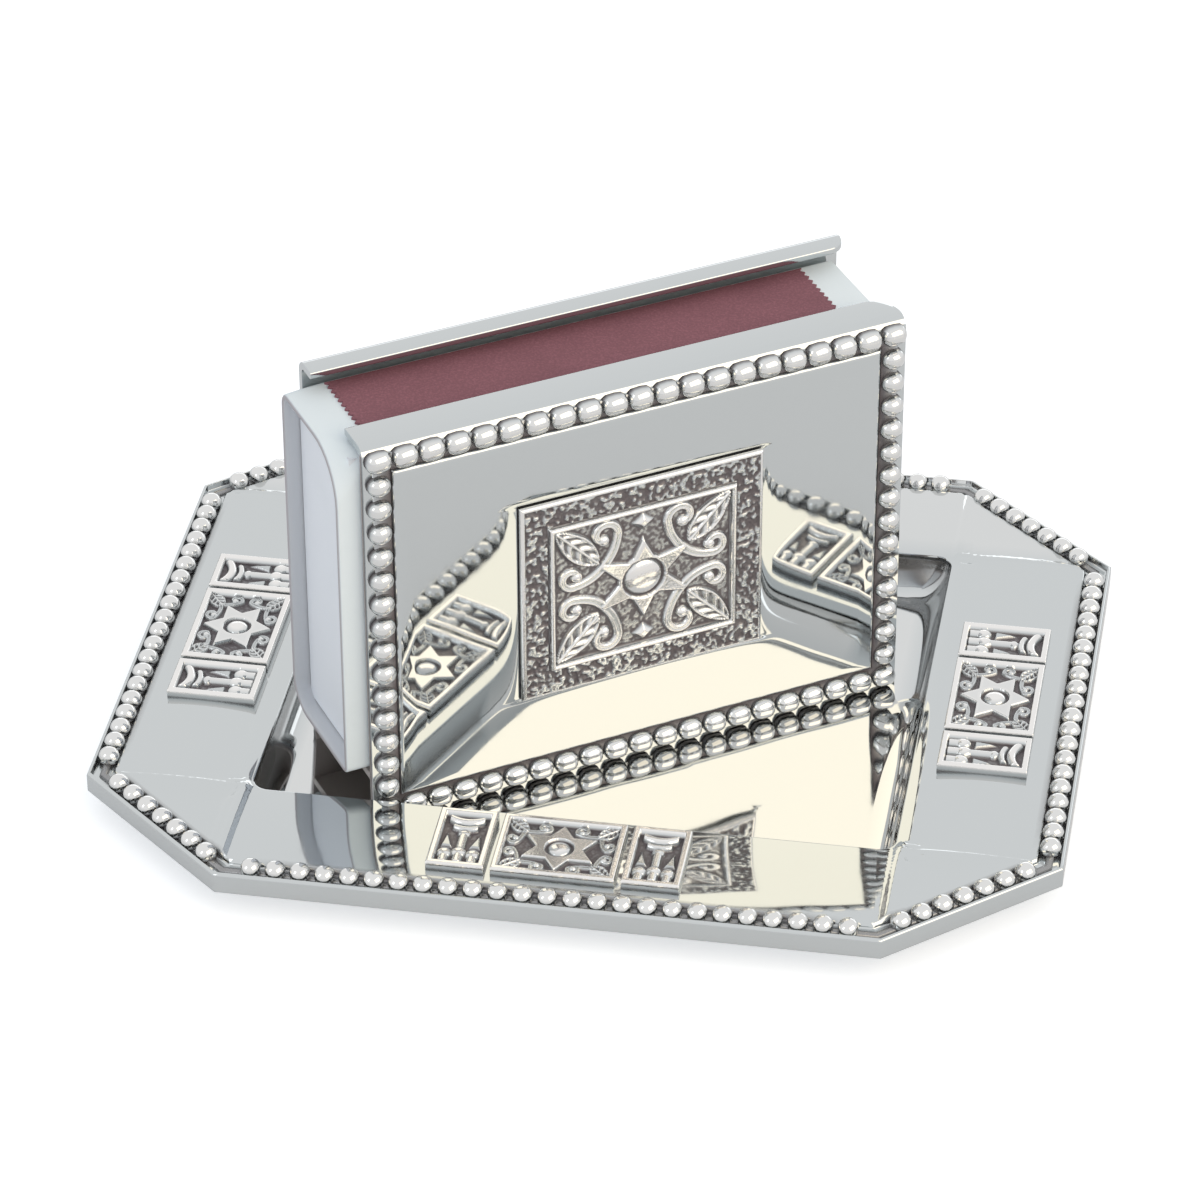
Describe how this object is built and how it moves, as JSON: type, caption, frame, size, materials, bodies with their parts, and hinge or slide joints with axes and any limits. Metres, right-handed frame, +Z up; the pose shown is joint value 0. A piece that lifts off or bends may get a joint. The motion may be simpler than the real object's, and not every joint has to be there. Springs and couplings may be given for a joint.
{
  "type": "matchbox holder on tray",
  "caption": "Bead-edged sheet holder that grips a matchbox on edge, standing in the sunken well of a matching octagonal tray.",
  "frame": {"origin": "middle of the tray's flat underside, on the surface it stands on", "axes": "+Z up, +X along the tray's long side towards its right end, -Y towards the side with the nearer corner of the holder, as the picture looks at it"},
  "size_m": [0.0888, 0.0736, 0.0422],
  "materials": {
    "tray_silver": "mirror polished, oxidised in the bead channel",
    "bead_silver": "polished beads on an oxidised ground",
    "plaque_silver": "polished relief on an oxidised ground",
    "holder_silver": "mirror polished",
    "sleeve_card": "matt white",
    "striker": "matt, gritty",
    "drawer_card": "matt",
    "match_wood": "bare",
    "match_head": "matt"
  },
  "bodies": {
    "tray": {"tray_body": "tray_silver", "tray_beading": "bead_silver", "star_plaque_front": "plaque_silver", "star_plaque_back": "plaque_silver", "star_plaque_left": "plaque_silver", "star_plaque_right": "plaque_silver", "pillar_plaques_front": "plaque_silver", "pillar_plaques_back": "plaque_silver", "pillar_plaques_left": "plaque_silver", "pillar_plaques_right": "plaque_silver"},
    "holder": {"holder_shell": "holder_silver", "holder_beading_front": "bead_silver", "holder_beading_back": "bead_silver", "holder_plaque_front": "plaque_silver", "holder_plaque_back": "plaque_silver"},
    "matchbox": {"matchbox_sleeve": "sleeve_card", "striker_top": "striker", "striker_bottom": "striker"},
    "drawer": {"drawer": "drawer_card", "matchsticks": "match_wood", "match_heads": "match_head"}
  },
  "joints": [
    {"name": "holder_lift", "type": "slide", "parent": "tray", "child": "holder", "axis": [0, 0, 1], "range_m": [0, 0.045]},
    {"name": "matchbox_slide", "type": "slide", "parent": "holder", "child": "matchbox", "axis": [-0.832, -0.5548, 0], "range_m": [0, 0.04]},
    {"name": "drawer_slide", "type": "slide", "parent": "matchbox", "child": "drawer", "axis": [-0.832, -0.5548, 0], "range_m": [-0.035, 0.035]}
  ]
}
